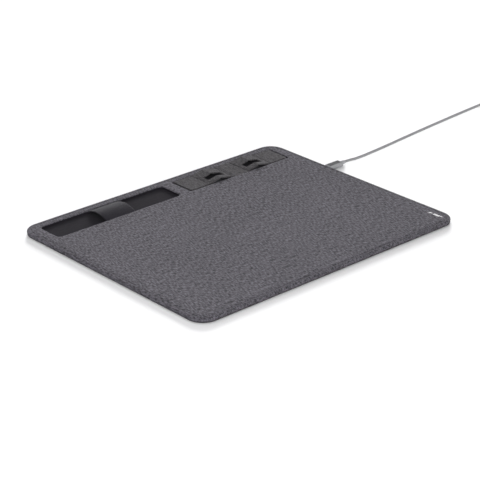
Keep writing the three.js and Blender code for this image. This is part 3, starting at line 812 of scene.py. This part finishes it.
def make_top():
    """The cloth over the mat and round its edge, with holes for the tray and the stand."""
    skin = Skin()
    edge = skin.profile(mat_outline(), MAT_EDGE)
    holes = [
        skin.profile(opening_of("tray_liner", TRAY_CORNER), OPENING_EDGE),
        skin.profile(opening_of("stand_liner", STAND_CORNER), OPENING_EDGE),
    ]
    skin.fill(edge[-1], [hole[0] for hole in holes], step=7)
    skin.fill(edge[0], [hole[-1] for hole in holes], step=30, up=False)
    skin.move(ripple)
    cloth = place_piece("mat_cloth", skin, "heather_fabric", "mat", ["top_cover"])
    # The lower lip is black: partly binding, partly painted shade where it meets the floor.
    second_look(cloth, "edge_binding_and_shade", lambda face: face.index < BINDING_AND_SHADE_STRIPS * len(edge[0]))
    return cloth


def cut_port(cloth):
    """The slot in the mat's edge that the plug goes through."""
    low, high = box_of("socket_shell")
    middle = (low + high) / 2
    size = high - low
    shape = section(size.y + PORT["clear_y"], size.z + PORT["clear_z"], size.z / 2)

    def at(share, point):
        return high.x - PORT["behind"] + PORT["reach"] * share, middle.y + point.x, middle.z + point.y

    cutter = lofted([(0, shape), (1, shape)], at)
    tool = add_object("port_cutter", cutter.mesh("port_cutter"))
    modifier = cloth.modifiers.new("port", "BOOLEAN")
    modifier.operation = "DIFFERENCE"
    modifier.solver = "EXACT"
    modifier.object = tool
    bpy.context.view_layer.update()
    evaluated = cloth.evaluated_get(bpy.context.evaluated_depsgraph_get())
    mesh = bpy.data.meshes.new_from_object(evaluated)
    cloth.modifiers.clear()
    cloth.data = mesh
    bpy.data.objects.remove(tool)


def groove_stitches():
    """One row of stitches in the groove round the top."""
    path = ring(mat_outline(), GROOVE["inset"], GROOVE["height"])
    skin = stitches(path, closed=True).move(ripple)
    place_piece("mat_stitching", skin, "thread", "mat")


def liner_sections(floor, rim):
    """From the outside of a liner's wall over the rim and down to its floor."""
    return [
        (-LINING, floor - LINING), (-LINING, rim), (-0.1, rim), (0.0, rim - 0.1), (0.05, floor + 0.9),
        (0.2, floor + 0.4), (0.55, floor + 0.08), (1.2, floor),
    ]


def make_liner(name, node, corner):
    low, high = box_of(node)
    skin = Skin()
    made = skin.profile(opening_of(node, corner), liner_sections(low.z + LINING, high.z))
    skin.fill(made[-1], step=6)
    skin.fill(made[0], step=30, up=False)
    place_piece(name, skin, "lining", "mat", [node])


# The strap's arch falls away from its middle by a power: gently in front and later at the back.
STRAP = {"thick": 1.0, "tuck": 1.1, "foot": 4.35, "front_power": 1.6, "back_power": 2.15, "steps": 44}


def make_strap():
    """The elastic strap: an arch over the tray, whose ends go down under the cloth at both sides of it."""
    low, high = box_of("elastic_strap")
    middle = (low.y + high.y) / 2
    half = (high.y - low.y) / 2 + STRAP["tuck"]
    width = high.x - low.x
    rise = high.z - STRAP["foot"]
    rows = []
    band = [
        (0.0, -0.5), (0.0, -0.15), (0.35, 0.0), (1.2, 0.06), (width / 2, 0.09), (width - 1.2, 0.06),
        (width - 0.35, 0.0), (width, -0.15), (width, -0.5), (width - 0.35, -1.0), (width / 2, -0.92),
        (0.35, -1.0),
    ]
    for k in range(STRAP["steps"] + 1):
        share = 2 * k / STRAP["steps"] - 1
        y = middle + half * share
        power = STRAP["front_power"] if share < 0 else STRAP["back_power"]
        top = STRAP["foot"] + rise * (1 - abs(share) ** power)
        slope = rise * power * abs(share) ** (power - 1) * math.copysign(1, share) / half
        normal = Vector((slope, 1)).normalized()
        rows.append([
            (low.x + across, y + normal.x * out * STRAP["thick"], top + normal.y * out * STRAP["thick"])
            for across, out in band
        ])
    place_piece("elastic_band", Skin().tube(rows), "elastic", "mat", ["elastic_strap"])


cloth = make_top()
cut_port(cloth)
groove_stitches()
make_liner("tray_lining", "tray_liner", TRAY_CORNER)
make_liner("stand_lining", "stand_liner", STAND_CORNER)
make_strap()


# ---- the phone stand ----

REST = math.radians(10.5)
THICK = 1.6
HINGE_GAP = 0.15
VALLEY_MITRE = 0.87
CREST_MITRE = 2.37
MITRE_REACH = 5.0
INNER_LENGTH = 17.5
WINDOW_REACH = 11.9
WINDOW = (105.4, 114.6)
# How many strips of a panel's edge are grey. The lowest is black, like its underside.
GREY_STRIPS = 5
PANEL_EDGE = [(0.5, 0.0), (0.14, 0.1), (0.0, 0.4), (0.0, 1.1), (0.08, 1.38), (0.26, 1.55), (0.55, 1.6)]


class Leaf:
    """A panel's own frame: `u` runs along it from its valley fold, and `w` goes up from its underside."""

    def __init__(self, origin, side, angle):
        self.x, self.z = origin
        self.side = side
        self.along = (side * math.cos(angle), math.sin(angle))
        self.up = (-side * math.sin(angle), math.cos(angle))

    def at(self, u, y, w):
        return (
            self.x + u * self.along[0] + w * self.up[0], y,
            self.z + u * self.along[1] + w * self.up[1],
        )


def mitred(length, ends):
    """Slants a panel's ends: a valley end leans back at its top, and a crest end at its underside."""
    def shift(u, y, w):
        level = w / THICK
        for kind, distance, sign in ((ends[0], u, 1), (ends[1], length - u, -1)):
            lean = {"valley": VALLEY_MITRE * level, "crest": CREST_MITRE * (1 - level), "square": 0}[kind]
            if distance < MITRE_REACH:
                u += sign * lean * (1 - distance / MITRE_REACH)
        return u, y, w
    return shift


def panel_outline(length, ends, front, back, windowed):
    """A panel from above. A square end is free, and other ends stop just short of their fold."""
    near = 0 if ends[0] == "square" else HINGE_GAP
    far = length if ends[1] == "square" else length - HINGE_GAP
    small, free = 0.6, 1.5
    far_corner = free if ends[1] == "square" else small
    corners = [(near, front, small), (far, front, far_corner)]
    if windowed:
        start = length - WINDOW_REACH
        corners += [(far, WINDOW[0], small), (start, WINDOW[0], 0.8)]
        corners += [(start, WINDOW[1], 0.8), (far, WINDOW[1], small)]
    corners += [(far, back, far_corner), (near, back, small)]
    return outline(corners, step=2.0, arc_points=5)


def make_panel(name, node, leaf, length, ends, body, front, back, windowed=False):
    """A board in its cloth: grey on top and round its edges, and black underneath."""
    skin = Skin()
    made = skin.profile(panel_outline(length, ends, front, back, windowed), PANEL_EDGE)
    dark_faces = len(made[0]) * (len(PANEL_EDGE) - 1 - GREY_STRIPS)
    skin.fill(made[-1], step=2.5)
    top_faces = len(skin.faces)
    skin.fill(made[0], step=5, up=False)
    skin.move(mitred(length, ends))
    skin.move(leaf.at, mirrored=leaf.side < 0)
    panel = place_piece(name, skin, "stand_fabric", body, [node])
    second_look(panel, "panel_back", lambda face: face.index < dark_faces or face.index >= top_faces)


def strip_section(front, back, reach):
    """Points (y, w) of a strip of cloth over a panel's top and down its two edges."""
    rounded = [(-0.03, THICK - reach), (-0.03, THICK - 0.55), (0.08, THICK - 0.2), (0.34, THICK + 0.01)]
    middle = [(front + 0.9 + (back - front - 1.8) * k / 8, THICK + 0.04) for k in range(9)]
    return (
        [(front + y, w) for y, w in rounded] + middle + [(back - y, w) for y, w in reversed(rounded)]
    )


def crest_strip(name, near, far, front, back):
    """The cloth over a crest: it lies on both panels beside the fold, and is bent over it."""
    skin = Skin()
    length = INNER_LENGTH
    rows = []
    points = strip_section(front, back, 0.8)
    offsets = (0.5, 1.3, 2.4)
    beside_near = [(near, offset) for offset in reversed(offsets)]
    for leaf, offset in [*beside_near, (None, 0.0), *((far, offset) for offset in offsets)]:
        lift = 0.0 if offset > 2 else 0.05
        if leaf is None:
            ends = [[side.at(length, y, w + lift) for y, w in points] for side in (near, far)]
            rows.append([tuple((Vector(a) + Vector(b)) / 2) for a, b in zip(*ends)])
        else:
            drop = -0.03 if offset > 2 else 0
            rows.append([leaf.at(length - offset, y, w + lift + drop) for y, w in points])
    skin.rows(rows, closed=False)
    if near.side > 0:
        skin.flip()
    strip = place_piece(name, skin, "stand_fabric")
    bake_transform(strip)


def valley_strip(name, near, far, front, back, fold):
    """The cloth down in a valley fold. `near` and `far` are a leaf and how far along it the fold is."""
    skin = Skin()
    across = [(1.9, THICK - 0.03), (1.25, THICK + 0.02), (0.8, THICK - 0.06), (0.35, THICK - 0.3)]
    count = 10
    line = [front + 0.12 + (back - front - 0.24) * k / count for k in range(count + 1)]
    (a, a_fold), (b, b_fold) = near, far
    rows = [[a.at(abs(a_fold - offset), y, w) for y in line] for offset, w in across]
    rows.append([(fold.x, y, fold.z + THICK - 0.5) for y in line])
    rows += [[b.at(abs(b_fold - offset), y, w) for y in line] for offset, w in reversed(across)]
    skin.rows(rows, closed=False)
    if b.at(5, 0, 0)[0] > a.at(abs(a_fold - 5), 0, 0)[0]:
        skin.flip()
    strip = place_piece(name, skin, "stand_fabric")
    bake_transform(strip)


def make_flanges(leaf, width, front, back):
    """The centre panel's cloth runs on over the mat's at both its ends, and is bonded there."""
    skin = Skin()
    across = [(0, -0.12), (0.25, -0.02)] + [(0.25 + (width - 2.5) * k / 8, 0) for k in range(1, 8)]
    across += [(width - 2.25, -0.02), (width - 2.0, -0.12)]
    for start, way in ((front, -1), (back, 1)):
        rows = [
            [leaf.at(VALLEY_MITRE + 0.13 + u, start + way * y, THICK + w + drop) for u, drop in across]
            for y, w in ((-1.1, -0.02), (-0.5, 0.05), (0.2, 0.06), (0.9, 0.06), (1.5, 0.04), (1.75, -0.1))
        ]
        strip = Skin()
        strip.rows(rows, closed=False)
        if way < 0:
            strip.flip()
        skin.add(strip)
    place_piece("stand_centre_flanges", skin, "stand_fabric", "mat")


def make_stand():
    left_fold, right_fold = FOLDS["left_base_fold"], FOLDS["right_base_fold"]
    middle = Leaf((left_fold.x, left_fold.z), 1, 0)
    width = right_fold.x - left_fold.x
    low, high = box_of("stand_centre_cover")
    make_panel(
        "stand_centre_panel", "stand_centre_cover", middle, width, ("valley", "valley"), "mat", low.y, high.y,
    )
    make_flanges(middle, width, low.y, high.y)
    inset, top = 2.2, middle.z + THICK + 0.02
    x0, x1 = left_fold.x + VALLEY_MITRE + inset, right_fold.x - VALLEY_MITRE - inset
    y0, y1 = low.y + 0.6, high.y - inset
    path = [(x0, y0, top), (x0, y1, top), (x1, y1, top), (x1, y0, top)]
    place_piece("stand_stitching", stitches(path, spec=FINE_STITCH), "thread", "mat")
    for name, side in (("left", -1), ("right", 1)):
        base, crest, end = (FOLDS[f"{name}_{fold}_fold"] for fold in ("base", "crest", "end"))
        low, high = box_of(f"{name}_inner_cover")
        front, back = low.y, high.y
        inner = Leaf((base.x, base.z), side, REST)
        outer = Leaf((end.x, end.z), -side, REST)
        level = Leaf((end.x, end.z), side, 0)
        end_low, end_high = box_of(f"{name}_end_cover")
        end_length = max(abs(end_low.x - end.x), abs(end_high.x - end.x))
        for part, leaf in (("inner", inner), ("outer", outer)):
            make_panel(
                f"{name}_{part}_panel", f"{name}_{part}_cover", leaf, INNER_LENGTH, ("valley", "crest"),
                f"{name}_{part}", front, back, windowed=True,
            )
        make_panel(
            f"{name}_end_panel", f"{name}_end_cover", level, end_length, ("valley", "square"), f"{name}_end",
            front, back,
        )
        for place, (y0, y1) in {"front": (front, WINDOW[0]), "back": (WINDOW[1], back)}.items():
            crest_strip(
                f"{name}_crest_{place}", inner, outer, y0, y1,
            )
        centre = (middle, width if side > 0 else 0)
        valley_strip(f"{name}_base_crease", centre, (inner, 0), front, back, base)
        valley_strip(
            f"{name}_end_crease", (outer, 0), (level, 0), front, back, end,
        )


make_stand()


# ---- the printed mark ----

# The bars are (start, length, place across), from the bolt's middle.
MARK = {"x": 162.4, "y": -113.2, "height": 5.0, "stretch": (2.1, 0.9), "half_bar": 0.5}
MARK_BARS = ((4.4, 11.6, 0.8), (4.4, 8.4, -0.8))


def make_mark():
    """A plain charging sign by the corner: a lightning bolt and two bars, reading along -Y."""
    top = box_of("top_cover")[1].z
    skin = Skin()
    bolt = [(0.55, 1.0), (-0.5, -0.12), (-0.02, -0.12), (-0.5, -1.0), (0.55, 0.16), (0.06, 0.16)]
    half = MARK["height"] / 2
    wide, tall = MARK["stretch"]
    shapes = [[(half * a * wide, half * b * tall) for a, b in bolt]]
    for start, length, across in MARK_BARS:
        near, far = across - MARK["half_bar"], across + MARK["half_bar"]
        shapes.append([(start, near), (start + length, near), (start + length, far), (start, far)])
    for shape in shapes:
        rim = skin.row((MARK["x"] + b, MARK["y"] - a, top) for a, b in shape)
        area = sum(
            skin.points[i][0] * skin.points[j][1] - skin.points[j][0] * skin.points[i][1]
            for i, j in zip(rim, rim[1:] + rim[:1])
        )
        skin.fill(rim if area > 0 else rim[::-1], step=1.0)
    skin.move(lambda x, y, z: (x, y, ripple(x, y, z)[2] + 0.06))
    place_piece("printed_sign", skin, "ink", "mat")


make_mark()


# ---- materials of the frame's own nodes ----

NODES_OF_LOOK = {
    "base_rubber": ["base_sheet"], "foam": ["core_board"], "ferrite": ["ferrite_sheet", "inductor"],
    "copper": ["charging_coil", "coil_lead_1", "coil_lead_2"], "circuit": ["circuit_board"],
    "chip": ["power_chip", "control_chip"], "steel": ["socket_shell", "usb_c_plug", "usb_a_plug"],
    "black_plastic": [
        "coil_carrier", "coil_lid", "housing_lower", "housing_upper", "socket_tongue", "usb_a_insert",
    ],
}
NODE_LOOKS = {name: look for look, names in NODES_OF_LOOK.items() for name in names}
ENDINGS = {"board": "board", "keeper": "steel", "magnet": "steel", "capacitor": "ceramic"}

for name, node in frame["nodes"].items():
    look = NODE_LOOKS.get(name) or next((ENDINGS[e] for e in ENDINGS if e in name), None)
    if look:
        node.data.materials.clear()
        node.data.materials.append(LOOKS[look])


# ---- floor and light ----

def make_floor():
    mesh = bpy.data.meshes.new("studio_floor")
    reach, drop = 6.0, -0.0002
    corners = (-reach, -reach), (reach, -reach), (reach, reach), (-reach, reach)
    mesh.from_pydata([(x, y, drop) for x, y in corners], [], [(0, 1, 2, 3)])
    mesh.materials.append(matte_floor("studio_paper", colour(246, 246, 247)))
    floor = add_object("studio_floor", mesh)


def make_light(name, azimuth, elevation, spread, strength):
    """A far, broad, soft light, the same all over the floor, by its direction from the mat in degrees."""
    data = bpy.data.lights.new(name, "SUN")
    data.angle = math.radians(spread)
    data.energy = strength
    light = add_object(name, data)
    around, up = math.radians(azimuth), math.radians(elevation)
    towards = Vector((math.cos(up) * math.cos(around), math.cos(up) * math.sin(around), math.sin(up)))
    light.rotation_euler = towards.to_track_quat("Z", "Y").to_euler()


def make_window(place, size, power):
    """A near soft box at the front left, which lights the edges that face the camera."""
    data = bpy.data.lights.new("soft_box", "AREA")
    data.size = size
    data.energy = power
    light = add_object("soft_box", data)
    light.location = place
    light.rotation_euler = Vector(place).to_track_quat("Z", "Y").to_euler()


def make_world(strength):
    world = bpy.data.worlds.new("studio")
    world.use_nodes = True
    background = world.node_tree.nodes["Background"]
    background.inputs["Color"].default_value = (1, 1, 1, 1)
    background.inputs["Strength"].default_value = strength
    scene.world = world


make_floor()
make_world(strength=0.41)
make_light("low_back_light", azimuth=45, elevation=14, spread=20, strength=5.3)
make_light("high_back_light", azimuth=70, elevation=55, spread=50, strength=0.4)
make_light("front_fill", azimuth=245, elevation=7, spread=30, strength=2.3)
make_window(place=(-0.6, -0.5, 0.6), size=0.5, power=2.4)
scene.view_settings.view_transform = "Standard"

bpy.context.view_layer.update()
